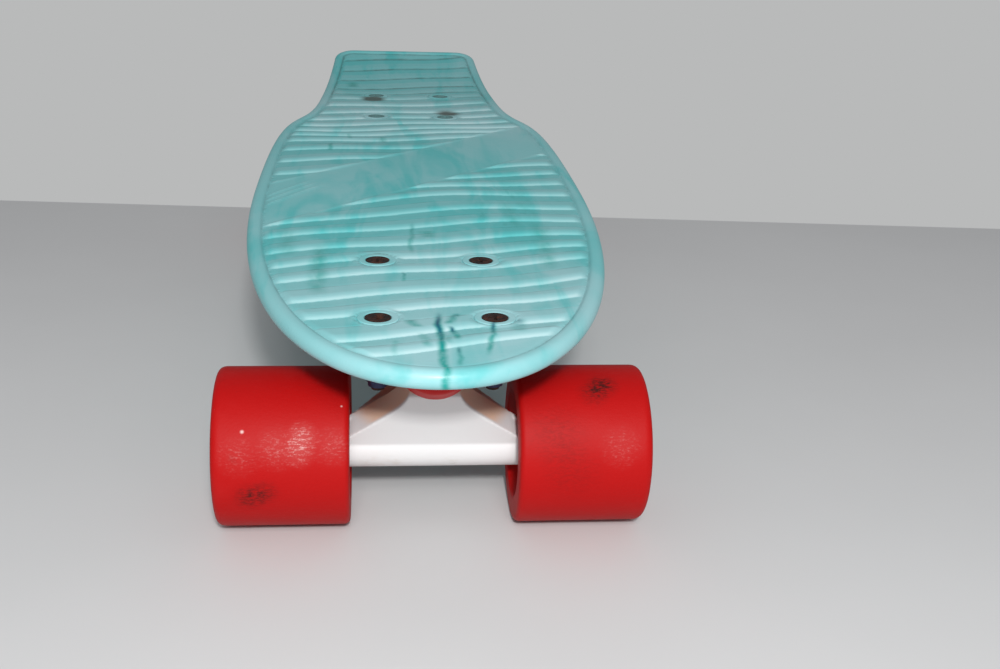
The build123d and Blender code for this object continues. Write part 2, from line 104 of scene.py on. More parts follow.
class DeckSettings(bpy.types.PropertyGroup):
    """Sizes and colours of the moulded deck."""

    screw_sink: length("Screw sink", "Depth of the screws' heads below the deck's top", 0.0005)
    widest: length("Widest place", "Distance from the nose to the widest place", 0.225)
    nose_fullness: length("Nose fullness", "Reach of the nose curve's first handle", 0.038)
    front_fullness: length("Front fullness", "Reach of the side curve's handle to the nose", 0.1765)
    rear_fullness: length("Rear fullness", "Reach of the side curve's handle to the tail", 0.197)
    shoulder: length("Shoulder", "Reach of the shoulder curve's handle", 0.1025)
    tail_length: length("Tail length", "Length of the tail's straight taper", 0.1185)
    tail_root: length("Tail root", "Half the tail's width where the taper starts", 0.0564)
    tail_end: length("Tail end", "Half the tail's width at its end", 0.0492)
    tail_corner: length("Tail corner", "Radius of the tail's corners", 0.014)
    kick_length: length("Kick length", "Length of the tail that bends up", 0.1025)
    kick_radius: length("Kick radius", "Radius of the tail's bend", 0.460)
    thickness: length("Rim thickness", "Height of the rim", 0.0071)
    rim_width: length("Rim width", "Plan width of the rim and its groove", 0.0066)
    ridge_height: length("Ridge height", "Height of the wavy ridges over the field", 0.001)
    ridge_front: length("Ridge front", "Plan width of each ridge's round front", 0.0054)
    band_width: length("Band width", "Width of the plain band across the deck", 0.051)
    band_middle: length("Band place", "Place along the deck where the band crosses its middle", -0.016)
    skin: length("Skin", "Depth of the underside below the deck's top", 0.0046)
    pad_depth: length("Pad depth", "Depth of the truck pads below the deck's top", 0.011)
    pad_length: length("Pad length", "Length of the truck pads", 0.090)
    pad_corner: length("Pad corner", "Reach of the rounding at the truck pads' corners", 0.010)
    pad_margin: length("Pad margin", "Width of the truck pads past the baseplates", 0.002)
    rib_thickness: length("Rib thickness", "Thickness of the ribs on the underside", 0.0026)
    rib_pitch: length("Rib pitch", "Distance between the long ribs", 0.028)
    cross_pitch: length("Cross rib pitch", "Distance between the cross ribs", 0.036)
    seat_radius: length("Seat radius", "Radius of the groove round each screw's seat", 0.0076)
    calm_radius: length("Calm radius", "Radius round each screw where the ridges end", 0.011)
    pale: colour("Pale", "Main colour of the plastic", srgb(151, 199, 203))
    aqua: colour("Aqua", "Stronger tint in the plastic's clouds", srgb(80, 184, 185))
    # Painted highlight: these two tones lighten the ridges' fronts, the band's lip and its raised lines where
    # the light shines off them.
    highlight_tone: colour("Crest", "Pale tone on the ridges' fronts", srgb(206, 232, 234))
    aqua_highlight_tone: colour("Aqua crest", "Tint on the ridges' fronts in the clouds", srgb(116, 220, 221))
    teal: colour("Teal", "Colour of the streaks", srgb(0, 150, 142))
    ink: colour("Ink", "Colour of the darkest streaks", srgb(8, 44, 96))
    # Grime and painted shade: this tone darkens the creases and grooves, and also marks real dirt beside the
    # rear screws.
    dark_tone: colour("Grime", "Dirt that settles in the creases", srgb(58, 60, 50))


class WheelSettings(bpy.types.PropertyGroup):
    """Sizes and colours of the wheels."""

    outer_round: length("Outer shoulder", "Radius of the tread's outer edge", 0.003)
    inner_round: length("Inner edge", "Radius of the tread's inner edge", 0.002)
    turns: IntProperty(name="Steps round", description="Faces round each wheel", default=160, min=24)
    red: colour("Red", "Colour of the urethane", srgb(168, 9, 9))
    worn: colour("Worn", "Colour where the tread is rubbed", srgb(175, 26, 26))
    # This tone is partly chalk and partly painted sheen across the treads' middle height.
    chalk_and_sheen_tone: colour("Scuff", "Colour of chalky scratches", srgb(232, 205, 200))
    dark_tone: colour("Grime", "Colour of ground-in dirt", srgb(62, 18, 16))


class TruckSettings(bpy.types.PropertyGroup):
    """Sizes and colours of the trucks."""

    rounding: length("Rounding", "Grid size that softens the moulded edges", 0.0005)
    lean: angle("Kingpin lean", "Lean of the kingpin", 15)
    arm_lean: number("Arm lean", "How far the arm leans out for its height", 0.384)
    white: colour("White", "Colour of the hanger", srgb(221, 221, 221))
    stain: colour("Stain", "Colour of dust and stains on the hanger", srgb(168, 150, 124))
    # Painted shade: warm brown where the deck's shadow falls on the hanger's wings.
    wing_shade: colour("Film", "Brown film that gathers on the wings", srgb(234, 188, 150))
    red: colour("Red", "Colour of the baseplate", srgb(188, 22, 22))
    dull_red: colour("Dull red", "Second tone of the baseplate", srgb(140, 14, 16))
    bushing: colour("Bushing", "Colour of the bushings", srgb(200, 34, 30))
    dull_bushing: colour("Dull bushing", "Second tone of the bushings", srgb(150, 20, 18))
    cup: colour("Cup", "Colour of the pivot cup", srgb(36, 36, 38))
    dusty_cup: colour("Dusty cup", "Second tone of the pivot cup", srgb(62, 60, 58))


class HardwareSettings(bpy.types.PropertyGroup):
    """Colours of the metal pieces."""

    screw: colour("Screw", "Colour of the deck screws", srgb(30, 24, 23))
    rust: colour("Rust", "Colour of rust on the screws", srgb(88, 48, 32))
    dust: colour("Dust", "Colour of the dust on the rear screws", srgb(104, 146, 146))
    nut: colour("Nut", "Colour of the deck nuts", srgb(28, 34, 66))
    dull_nut: colour("Dull nut", "Second tone of the deck nuts", srgb(50, 56, 90))
    steel: colour("Steel", "Colour of plated steel", srgb(186, 186, 184))
    dull_steel: colour("Dull steel", "Second tone of plated steel", srgb(128, 126, 120))
    bearing: colour("Bearing", "Colour of the bearings", srgb(200, 200, 204))
    dull_bearing: colour("Dull bearing", "Second tone of the bearings' rings", srgb(150, 150, 152))
    dull_shield: colour("Dull shield", "Second tone of the bearings' shields", srgb(120, 118, 116))


class StageSettings(bpy.types.PropertyGroup):
    """Floor, light and camera."""

    floor: colour("Floor", "Colour of the floor", srgb(206, 206, 206))
    wall: colour("Wall", "Plain tone that the camera sees behind the floor", srgb(185, 186, 186))
    edge_place: length("Far edge", "Distance of the floor's far edge behind the board's middle", 0.207)
    edge_slope: number("Edge slope", "How far the edge runs askew for each metre", 0.07)
    reach: length("Floor reach", "How far the floor goes to the sides and to the front", 4.0)
    focal: number("Focal length", "Lens of the camera in millimetres", 44.51)
    camera: point("Camera", "Place of the camera", (-0.02165, -0.63599, 0.24611))
    pitch: angle("Pitch", "How far the camera looks down", 21.81)
    yaw: angle("Yaw", "How far the camera turns to +X", 6.22)
    roll: angle("Roll", "How far the camera tilts", 2.26)
    key_power: number("Key light", "Power of the light above the camera in watts", 3.8)
    key_size: length("Key size", "Width of the light above the camera", 0.045)
    key_place: point("Key place", "Place of the light above the camera", (0.0, -0.82, 0.45))
    key_target: point("Key target", "Place that the light above the camera faces", (0.0, -0.15, 0.05))
    fill_power: number("Fill light", "Power of the large light behind the camera in watts", 14.2)
    fill_size: length("Fill size", "Width of the large light behind the camera", 0.5)
    fill_place: point("Fill place", "Place of the large light behind the camera", (0.0, -1.62, 1.16))
    fill_target: point("Fill target", "Place that the large light faces", (0.0, 0.1, 0.0))
    sky: number("Surrounding light", "Strength of the light from all sides", 0.31)
    sky_tone: colour("Surrounding tone", "Colour of the light from all sides", (0.95, 0.97, 1.0))


def middle(node):
    """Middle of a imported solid's box."""
    low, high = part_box(node)
    return (np.array(low) + np.array(high)) / 2


def smooth(t):
    """Soft step from 0 to 1: 3t^2 - 2t^3 with t held between 0 and 1."""
    t = np.clip(t, 0, 1)
    return t * t * (3 - 2 * t)


def bell(distance, width):
    """Bell curve: e to the minus square of distance over width."""
    return np.exp(-((distance / width) ** 2))


def bezier(corners, count):
    """Cubic curve: four corners weighted by (1-t)^3, 3t(1-t)^2, 3t^2(1-t) and t^3."""
    t = np.linspace(0, 1, count)[:, None]
    a, b, c, d = np.array(corners, float)
    return (1 - t) ** 3 * a + 3 * t * (1 - t) ** 2 * b + 3 * t * t * (1 - t) * c + t**3 * d


def respaced(path, count):
    """The same path with its points evenly spaced along it."""
    along = np.append(0, np.cumsum(np.linalg.norm(np.diff(path, axis=0), axis=1)))
    at = np.linspace(0, along[-1], count)
    return np.column_stack([np.interp(at, along, path[:, k]) for k in range(path.shape[1])])


def rounded(corners, radii, steps):
    """Closed profile with eased corners: each corner p becomes the curve (1-s)^2 a + 2s(1-s) p + s^2 b.

    The points a and b lie on the two sides of the corner, one radius away from it.
    """
    p = np.array(corners, float)
    r = np.array(radii, float)[:, None]
    back = np.roll(p, 1, axis=0) - p
    on = np.roll(p, -1, axis=0) - p
    a = p + back / np.linalg.norm(back, axis=1, keepdims=True) * r
    b = p + on / np.linalg.norm(on, axis=1, keepdims=True) * r
    s = np.linspace(0, 1, steps)[None, :, None]
    curves = (1 - s) ** 2 * a[:, None] + 2 * s * (1 - s) * p[:, None] + s * s * b[:, None]
    return curves.reshape(-1, p.shape[1])


def grid_faces(rows, columns, wrap_rows=False, wrap_columns=False):
    """Four-sided faces of a grid whose points are numbered row by row."""
    r = np.arange(rows if wrap_rows else rows - 1)[:, None]
    c = np.arange(columns if wrap_columns else columns - 1)[None, :]
    next_r = (r + 1) % rows
    next_c = (c + 1) % columns
    corners = (r * columns + c, r * columns + next_c, next_r * columns + next_c, next_r * columns + c)
    return np.stack(np.broadcast_arrays(*corners), -1).reshape(-1, 4)


class Shell:
    """Points and faces of one piece, gathered from several surfaces."""

    def __init__(self):
        self.points = []
        self.faces = []
        self.marks = {}
        self.count = 0

    def add(self, points, faces, **marks):
        """Add points in rows of three, faces as rows of point numbers, and a number per point for a mark."""
        points = np.asarray(points, float).reshape(-1, 3)
        self.points.append(points)
        self.faces += (np.asarray(faces) + self.count).tolist()
        for name in marks:
            self.marks.setdefault(name, []).append((self.count, np.asarray(marks[name], float).ravel()))
        self.count += len(points)

    def grid(self, points, wrap_rows=False, wrap_columns=False, **marks):
        """Add a surface given as a grid of points."""
        rows, columns = points.shape[:2]
        self.add(points, grid_faces(rows, columns, wrap_rows, wrap_columns), **marks)

    def prism(self, rings):
        """Add a closed solid from a stack of equal rings, with flat ends."""
        rows, columns = rings.shape[:2]
        start = self.count
        self.grid(rings, wrap_columns=True)
        self.faces.append(list(range(start, start + columns)))
        self.faces.append(list(range(start + (rows - 1) * columns, start + rows * columns)))

    def mesh(self, name, sharp):
        """Mesh with doubles merged, faces outward, and smooth shading up to the sharp angle."""
        mesh = bpy.data.meshes.new(name)
        mesh.from_pydata(np.concatenate(self.points), [], self.faces)
        for mark, runs in self.marks.items():
            values = np.zeros(self.count, np.float32)
            for start, numbers in runs:
                values[start:start + len(numbers)] = numbers
            mesh.attributes.new(mark, "FLOAT", "POINT").data.foreach_set("value", values)
        work = bmesh.new()
        work.from_mesh(mesh)
        bmesh.ops.remove_doubles(work, verts=work.verts, dist=1e-6)
        bmesh.ops.recalc_face_normals(work, faces=work.faces)
        work.to_mesh(mesh)
        work.free()
        mesh.shade_smooth()
        mesh.set_sharp_from_angle(angle=np.radians(sharp))
        return mesh


def place(name, mesh, material, replaced=()):
    """Object for a finished mesh, with its material and the solids that it stands for."""
    piece = bpy.data.objects.new(name, mesh)
    bpy.context.scene.collection.objects.link(piece)
    mesh.materials.clear()
    mesh.materials.append(material)
    if replaced:
        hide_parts(*replaced)
    return piece


def paint(node, material):
    """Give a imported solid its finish."""
    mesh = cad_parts[node].data
    mesh.materials.clear()
    mesh.materials.append(material)


def spun(profile, centre, axis, turns):
    """Surface of revolution: each profile point (along, radius) goes round the axis in equal steps.

    The point is centre + along * axis + radius * (u cos a + v sin a), where u and v are square to the axis.
    """
    axis = np.array(axis, float) / np.linalg.norm(axis)
    helper = np.array((0, 0, 1.0)) if abs(axis[2]) < 0.7 else np.array((1.0, 0, 0))
    u = np.cross(axis, helper)
    u /= np.linalg.norm(u)
    v = np.cross(axis, u)
    turn = np.linspace(0, 2 * np.pi, turns, endpoint=False)
    rim = np.cos(turn)[:, None] * u + np.sin(turn)[:, None] * v
    return centre + profile[:, None, :1] * axis + profile[:, None, 1:] * rim


class Value:
    """A number that varies over a surface. Arithmetic on it adds Math nodes."""

    def __init__(self, finish, socket):
        self.finish = finish
        self.socket = socket

    def math(self, operation, *inputs):
        """One Math node."""
        return self.finish.value("ShaderNodeMath", {"operation": operation}, dict(enumerate(inputs)))

    def __add__(self, other):
        return self.math("ADD", self, other)

    __radd__ = __add__

    def __sub__(self, other):
        return self.math("SUBTRACT", self, other)

    def __rsub__(self, other):
        return self.math("SUBTRACT", other, self)

    def __mul__(self, other):
        return self.math("MULTIPLY", self, other)

    __rmul__ = __mul__

    def __truediv__(self, other):
        return self.math("DIVIDE", self, other)

    def __abs__(self):
        return self.math("ABSOLUTE", self)

    def most(self, other):
        """The larger of two values."""
        return self.math("MAXIMUM", self, other)

    def least(self, other):
        """The smaller of two values."""
        return self.math("MINIMUM", self, other)

    def step(self, low, high):
        """Soft step: 0 up to low, 1 from high on."""
        settings = {"interpolation_type": "SMOOTHSTEP"}
        inputs = {"Value": self, "From Min": low, "From Max": high}
        return self.finish.value("ShaderNodeMapRange", settings, inputs)


class Finish:
    """One material: a Principled shader and the nodes that vary it over a surface."""

    def __init__(self, name, **constants):
        self.material = bpy.data.materials.new(name)
        self.material.use_nodes = True
        self.tree = self.material.node_tree
        self.shader = self.tree.nodes["Principled BSDF"]
        for socket, value in constants.items():
            self.shader.inputs[socket.replace("_", " ").title()].default_value = value
        self.here = self.node("ShaderNodeTexCoord").outputs["Object"]

    def node(self, kind, settings=None, inputs=None):
        """A node of any kind: its settings are set first, then its sockets get values or links."""
        node = self.tree.nodes.new(kind)
        for name, value in (settings or {}).items():
            setattr(node, name, value)
        for name, value in (inputs or {}).items():
            self.plug(node.inputs[name], value)
        return node

    def plug(self, socket, value):
        """Set a socket to a number or colour, or link it."""
        if isinstance(value, Value):
            value = value.socket
        if isinstance(value, bpy.types.NodeSocket):
            self.tree.links.new(value, socket)
        elif socket.type == "RGBA":
            socket.default_value = (*value, 1)
        else:
            socket.default_value = value

    def value(self, kind, settings=None, inputs=None, output=0):
        """One output of a new node as a value."""
        return Value(self, self.node(kind, settings, inputs).outputs[output])

    def split(self):
        """The three coordinates of the surface."""
        node = self.node("ShaderNodeSeparateXYZ", None, {0: self.here})
        return [Value(self, socket) for socket in node.outputs]

    def mark(self, name):
        """A number that the mesh carries."""
        return self.value("ShaderNodeAttribute", {"attribute_name": name}, None, "Fac")

    def noise(self, scale, stretch=(1, 1, 1), detail=3.0, rough=0.5, bend=0.0, shift=(0, 0, 0)):
        """Cloudy noise of so many lumps a metre, drawn out along an axis by a small stretch number."""
        mapping = {"Vector": self.here, "Scale": tuple(scale * s for s in stretch), "Location": shift}
        vector = self.node("ShaderNodeMapping", None, mapping).outputs[0]
        inputs = {"Vector": vector, "Scale": 1.0, "Detail": detail, "Roughness": rough, "Distortion": bend}
        return self.value("ShaderNodeTexNoise", None, inputs)

    def spot(self, centre, radius):
        """1 at a centre, falling to 0 at a radius from it."""
        inputs = {0: self.here, 1: tuple(centre)}
        away = self.value("ShaderNodeVectorMath", {"operation": "DISTANCE"}, inputs, "Value")
        return 1 - away.step(0.0, radius)

    def mix(self, factor, first, second):
        """First colour at 0 and second at 1."""
        inputs = {0: factor, 6: first, 7: second}
        return self.node("ShaderNodeMix", {"data_type": "RGBA"}, inputs).outputs[2]

    def set(self, socket, value):
        """Drive one of the shader's sockets."""
        self.plug(self.shader.inputs[socket], value)

    def bump(self, height, distance):
        """Raise the surface by a value times a distance in metres."""
        inputs = {"Height": height, "Distance": distance}
        self.set("Normal", self.node("ShaderNodeBump", None, inputs).outputs[0])


# Streaks in the deck's plastic, in millimetres: start, end, half width, strength, how inky
STREAKS = (
    ((0.2, -228), (0.4, -289), 1.8, 1.0, 0.9),
    ((6.4, -226), (4.0, -237), 2.2, 0.85, 0.4),
    ((4.4, -239), (5.9, -251), 1.6, 0.95, 0.9),
    ((5.9, -256), (5.4, -272), 1.3, 0.6, 0.7),
    ((19.8, -233), (15.6, -262), 1.4, 0.8, 0.95),
    ((28.5, -232), (27.5, -244), 3.4, 0.4, 0.9),
    ((-9.5, -232), (-6.5, -240), 2.6, 0.65, 0.1),
    ((-6.0, -244), (-4.2, -257), 2.0, 0.55, 0.0),
    ((2.4, -246), (2.0, -254), 2.2, 0.45, 0.0),
    ((-15.6, -250), (-15.2, -263), 1.5, 0.3, 0.0),
    ((-10.8, -180), (-11.0, -192), 1.0, 0.85, 0.4),
    ((-5.9, -118), (-6.8, -158), 1.4, 0.55, 0.2),
    ((0.0, -126), (0.4, -137), 4.2, 0.65, 0.0),
    ((50, -112), (48, -178), 4.5, 0.45, 0.0),
    ((38, -84), (41, -122), 4.0, 0.35, 0.0),
    ((-58, -128), (-57, -160), 4.0, 0.35, 0.0),
    ((-43.8, -150), (-42.4, -206), 4.0, 0.6, 0.0),
    ((-45.8, 20), (-45.4, 34), 1.6, 0.7, 0.1),
    ((-35.4, 45), (-36.0, 57), 1.6, 0.7, 0.1),
    ((-17.0, 38), (-17.6, 50), 2.6, 0.7, 0.1),
    ((-35.5, 194), (-36.0, 209), 4.2, 0.8, 0.2),
)

# Dirt beside two of the rear screws, in millimetres
SCREW_DIRT = ((-22.6, 158.4), (22.8, 116.7))

# Places along the deck's middle where the ridges have their feet, in millimetres
RIDGE_FEET = (-258, -244, -221, -203, -179, -161, -142, -119, -97, -72, -55, -38, -18, 4, 27, 46, 60, 72, 86,
              102, 119, 140, 161, 178, 195, 219, 241, 262, 285)


def deck_side(deck, count):
    """Right-hand edge of the deck's plan from the nose's tip to the flat end of the tail, evenly spaced.

    Two cubic curves meet at the widest place, then a straight taper ends in a quarter round.
    """
    low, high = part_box("deck")
    waist = low.y + deck.widest
    root = np.array((deck.tail_root, high.y - deck.tail_length))
    end = np.array((deck.tail_end, high.y))
    along = (end - root) / np.linalg.norm(end - root)
    tilt = np.arctan2(-along[0], along[1])
    nose = ((0, low.y), (deck.nose_fullness, low.y), (high.x, waist - deck.front_fullness), (high.x, waist))
    flank = ((high.x, waist), (high.x, waist + deck.rear_fullness), root - along * deck.shoulder, root)
    centre_x = deck.tail_end + deck.tail_corner * (np.tan(tilt) - 1 / np.cos(tilt))
    turn = np.linspace(tilt, np.pi / 2, 30)
    corner = np.column_stack((centre_x + deck.tail_corner * np.cos(turn),
                              high.y - deck.tail_corner + deck.tail_corner * np.sin(turn)))
    return respaced(np.vstack((bezier(nose, 300), bezier(flank, 300)[1:], corner)), count)


def deck_top(deck):
    """Height of the rim's and the ridges' tops."""
    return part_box("front_deck_screws")[1].z + deck.screw_sink


def on_deck(deck, x, y, height):
    """Point at a height over the deck's top: straight up on the flat, and square to the arc of the tail."""
    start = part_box("deck")[1].y - deck.kick_length
    turn = np.arcsin(np.clip(y - start, 0, None) / deck.kick_radius)
    z = deck_top(deck) + deck.kick_radius * (1 - np.cos(turn))
    return np.stack(np.broadcast_arrays(x, y - height * np.sin(turn), z + height * np.cos(turn)), -1)


def ridge_lines(x):
    """Places along the deck of all ridges' feet at x, in millimetres, one layer per ridge.

    Each foot is its place on the deck's middle, plus a slope times x, plus a bow times x^2, plus a slow wave.
    Slope and bow change along the deck.
    """
    reach = 56
    wave_height = 2.0
    wave_length = 88
    lines = []
    for k, foot in enumerate(RIDGE_FEET):
        slope = np.interp(foot, (-38, -18), (0.23, 0.16))
        bow = np.interp(foot, (-258, -70, 0, 240), (6, -7, 0, 5.6))
        wave = wave_height * np.sin(2 * np.pi * x / wave_length + 0.8 * k)
        lines.append(foot + slope * x + bow * (x / reach) ** 2 + wave)
    return np.stack(lines)


def screw_places():
    """Middles of the eight deck screws in metres."""
    pitch = 41.3 * MM
    spots = []
    for end in ENDS:
        low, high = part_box(f"{end}_deck_screws")
        radius = (high.x - low.x - pitch) / 2
        places = (low.y + radius, high.y - radius)
        spots += [(x, y) for x in (low.x + radius, high.x - radius) for y in places]
    return np.array(spots)


def relief(deck, x, y):
    """Height of the deck's field over its top, with marks for the painted highlight on the fronts, the
    creases' grime and painted shade, and the deeper strips, painted shade before each ridge.

    From its foot each ridge's front rises as 1 - (1 - t)^2, steep at the foot and round at the top. Behind
    it the field falls straight to the next foot, with a fine crease on the way. The plain band is a level
    strip on the diagonal with three fine raised lines at its left end. Round every screw the field is calm
    and ends in a groove, and under the screw's head it sinks out of sight. Bare numbers are millimetres.
    """
    bend = 3
    bend_reach = 7
    tail_start = 140
    tail_reach = 50
    line_places = (-1, 3.5, 8)
    lines_start = -55
    calm_depth = 0.40 * MM
    seat_depth = 1.4 * MM
    sink_depth = 1.9 * MM
    sink_radius = 5.8 * MM
    x_mm = x / MM
    y_mm = y / MM
    across = ((y_mm - deck.band_middle / MM) - x_mm) / np.sqrt(2)
    along = ((y_mm - deck.band_middle / MM) + x_mm) / np.sqrt(2)
    half = deck.band_width / MM / 2
    past_band = -across - half
    y_bent = y_mm + bend * np.exp(-np.clip(past_band, 0, None) / bend_reach) * (past_band > -half)
    climb = np.zeros_like(x)
    rise = np.zeros_like(x)
    crease = np.zeros_like(x)
    deep = np.zeros_like(x)
    tail = smooth((y_mm - tail_start) / tail_reach)
    lines = ridge_lines(x_mm)
    for line, following in zip(lines[:-1], lines[1:]):
        gap = following - line
        past = y_bent - line
        front = np.minimum(deck.ridge_front / MM, 0.5 * gap)
        between = (past >= 0) & (past < gap)
        rounding = 1 - (1 - np.clip(past / front, 0, 1)) ** 2
        fall = 1 - np.clip((past - front) / (gap - front), 0, 1)
        climb = np.where(between, np.minimum(rounding, fall), climb)
        # Painted highlight along each ridge's steep front.
        rise = np.where(between, bell(past - 0.6, 1.5), rise)
        seam = bell(past - 0.55 * gap, 0.6) * (1 - tail) + bell(np.minimum(past, gap - past), 1.6) * tail
        crease = np.where(between, seam, crease)
        # Painted shade: the back half of each terrace turns deeper aqua up to the next ridge's foot.
        deep = np.where(between, smooth((past - 0.55 * gap) / 1.4 + 0.3), deep)
    rise = rise * (1 - 0.8 * tail)
    height = deck.ridge_height * ((climb - 0.5) * (1 - 0.6 * tail) - 0.55) - 0.12 * MM * crease
    band = smooth((half - np.abs(across)) / 1.6 + 0.5)
    lip = bell(np.abs(across) - half - 0.4, 1.1)
    slant = across - 0.2 * (along + 100)
    stripes = sum(bell(slant - at, 0.8) for at in line_places) * smooth((lines_start - along) / 12)
    height = height * (1 - band) + band * (0.45 * stripes - 0.6) * MM + 0.22 * MM * lip
    rise = rise * (1 - band) + 0.5 * lip + 0.6 * band * stripes
    crease = crease * (1 - band)
    spots = screw_places()
    away = np.stack([np.hypot(x - sx, y - sy) for sx, sy in spots])
    near = away.min(axis=0)
    behind = smooth((y - spots[:, 1][away.argmin(axis=0)]) / near + 0.3)
    calm = smooth((deck.calm_radius - near) / (3.4 * MM))
    seat = smooth((deck.seat_radius - near) / (0.5 * MM) + 0.5)
    sink = smooth((sink_radius - near) / (2.4 * MM))
    height = (height * (1 - calm) - calm_depth * calm) * (1 - seat) - seat_depth * seat - sink_depth * sink
    # The groove is darkened only behind each screw, on its far side: painted shade.
    groove = bell(near - deck.seat_radius, 0.6 * MM) * behind
    deep = np.maximum(deep * (1 - calm) * (1 - band), band * 0.25)
    return height, rise * (1 - calm), np.maximum(crease * (1 - calm), groove), deep


def rim_profile(deck):
    """Closed section of the rim as inset and height: groove, round edge, underside and an inner wall."""
    r = 3.4
    turn = np.linspace(0, np.pi / 2, 9)
    low = deck.thickness / MM - r
    inner = deck.rim_width / MM
    groove = [(inner + 0.6, -1.7), (inner, -1.15), (6.2, -1.08), (5.85, -0.7), (5.4, -0.28), (4.8, -0.06),
              (4.1, 0.0)]
    over = np.column_stack((r - r * np.sin(turn), -r + r * np.cos(turn)))
    under = np.column_stack((r - r * np.cos(turn), -low - r * np.sin(turn)))
    foot = -deck.thickness / MM
    inside = [(5.6, foot), (inner, foot + 0.6), (inner + 0.6, -deck.skin / MM)]
    return np.vstack((groove, over, under, inside)) * MM


def inset_side(deck, rows):
    """Right-hand edge of the deck with the direction to its inside at each point."""
    side = deck_side(deck, rows)
    flow = np.gradient(side, axis=0)
    flow /= np.linalg.norm(flow, axis=1, keepdims=True)
    flow[0] = (1, 0)
    flow[-1] = (-1, 0)
    return side, np.column_stack((-flow[:, 1], flow[:, 0]))


def deck_rim(deck, rows=700, columns=60):
    """Rim of the deck: its section carried round the outline, square to it."""
    side, inward = inset_side(deck, rows)
    tail_x = np.linspace(side[-1, 0], -side[-1, 0], columns)[1:-1]
    tail = np.column_stack((tail_x, np.full(columns - 2, side[-1, 1])))
    mirror = np.array((-1, 1))
    path = np.vstack((side, tail, (side * mirror)[:0:-1]))
    normal = np.vstack((inward, np.tile((0, -1), (columns - 2, 1)), (inward * mirror)[:0:-1]))
    profile = rim_profile(deck)
    plan = path[:, None] + normal[:, None] * profile[None, :, :1]
    height = np.broadcast_to(profile[:, 1], plan.shape[:2])
    # Darker line in the rim's groove: grime and painted shade.
    dark_marks = bell(profile[:, 0] - 6.3 * MM, 0.45 * MM) * (profile[:, 1] > -3 * MM)
    shell = Shell()
    shell.grid(on_deck(deck, plan[..., 0], plan[..., 1], height), wrap_rows=True, wrap_columns=True,
               crease=np.broadcast_to(dark_marks, plan.shape[:2]))
    return shell


def deck_field(deck, rows=1020, columns=90):
    """Field inside the rim: ridged top over a plain underside, as far as the rim's groove."""
    side, inward = inset_side(deck, rows)
    edge = side + inward * deck.rim_width
    edge[0, 0] = 0
    spread = np.linspace(-1, 1, columns)
    x = edge[:, :1] * spread
    y = np.broadcast_to(edge[:, 1:], x.shape)
    room = np.minimum((1 - np.abs(spread)) * edge[:, :1] * np.abs(inward[:, :1]), edge[-1, 1] - y)
    height, rise, crease, deep = relief(deck, x, y)
    ease = smooth(room / (2.6 * MM))
    height = -1.15 * MM * (1 - ease) + height * ease
    # Darker creases, and a darker line where the field meets the rim's groove: grime and painted shade.
    darkened = np.maximum(crease * ease, bell(room, 0.6 * MM))
    top = on_deck(deck, x, y, height)
    under = on_deck(deck, x, y, -deck.skin)
    shell = Shell()
    shell.grid(top, crease=darkened, rise=rise * ease, deep=deep)
    shell.grid(np.stack((top[:, 0], under[:, 0]), 1))
    shell.grid(np.stack((top[:, -1], under[:, -1]), 1))
    shell.grid(np.stack((top[-1], under[-1]), 0))
    few = np.linspace(0, columns - 1, 5).astype(int)
    shell.grid(under[:-1, few])
    last = shell.count
    shell.add(under[-1], np.empty((0, 4), int))
    shell.faces.append([*range(last - 5, last), *range(shell.count - 1, last - 1, -1)])
    return shell


def deck_ribs(deck):
    """Ribs and truck pads under the deck: bars with a four-cornered section that follow the deck's bend."""
    side = deck_side(deck, 400)
    shell = Shell()
    top = -deck.skin + 0.4 * MM
    low = -deck.thickness

    def bar(path, across):
        """Bar along a plan path: the section's corners lie half a thickness to both sides, at two heights."""
        offset = np.array(across) * deck.rib_thickness / 2
        left = path - offset
        right = path + offset
        corners = ((left, low), (right, low), (right, top), (left, top))
        shell.prism(np.stack([on_deck(deck, *edge.T, height) for edge, height in corners], 1))

    for x in np.arange(-2, 3) * deck.rib_pitch:
        wide = side[side[:, 0] > abs(x) + 6 * MM]
        ends = wide[:, 1].min() + 5 * MM, wide[:, 1].max() - 5 * MM
        y = np.linspace(*ends, 40)
        bar(np.column_stack((np.full(40, x), y)), (1, 0))
    for y in np.arange(-7, 8) * deck.cross_pitch:
        reach = np.interp(y, side[:, 1], side[:, 0]) - 5.5 * MM
        bar(np.array(((-reach, y), (reach, y))), (0, 1))
    for end in ENDS:
        low_corner, high_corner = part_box(f"{end}_baseplate")
        half_x = (high_corner.x - low_corner.x) / 2 + deck.pad_margin
        half_y = deck.pad_length / 2
        corners = [(-half_x, -half_y), (half_x, -half_y), (half_x, half_y), (-half_x, half_y)]
        ring = rounded(corners, [deck.pad_corner] * 4, 8) + np.array((0, middle(f"{end}_deck_screws")[1]))
        heights = (deck_top(deck) - depth for depth in (deck.pad_depth, -top))
        shell.prism(np.stack([np.column_stack((ring, np.full(len(ring), z))) for z in heights]))
    return shell


def screw_seats(deck):
    """Round seats that frame the deck's screws: one eased ring section turned about each screw."""
    section = [(-3.4, 7.4), (-0.6, 7.4), (-0.38, 7.15), (-0.38, 5.2), (-0.5, 4.95), (-0.8, 4.95),
               (-3.4, 2.75)]
    ring = rounded(section, (0.1, 0.1, 0.2, 0.1, 0.06, 0.06, 0.1), 5) * MM
    shell = Shell()
    for x, y in screw_places():
        shell.grid(spun(ring, (x, y, deck_top(deck)), (0, 0, 1), 64), wrap_rows=True, wrap_columns=True)
    return shell


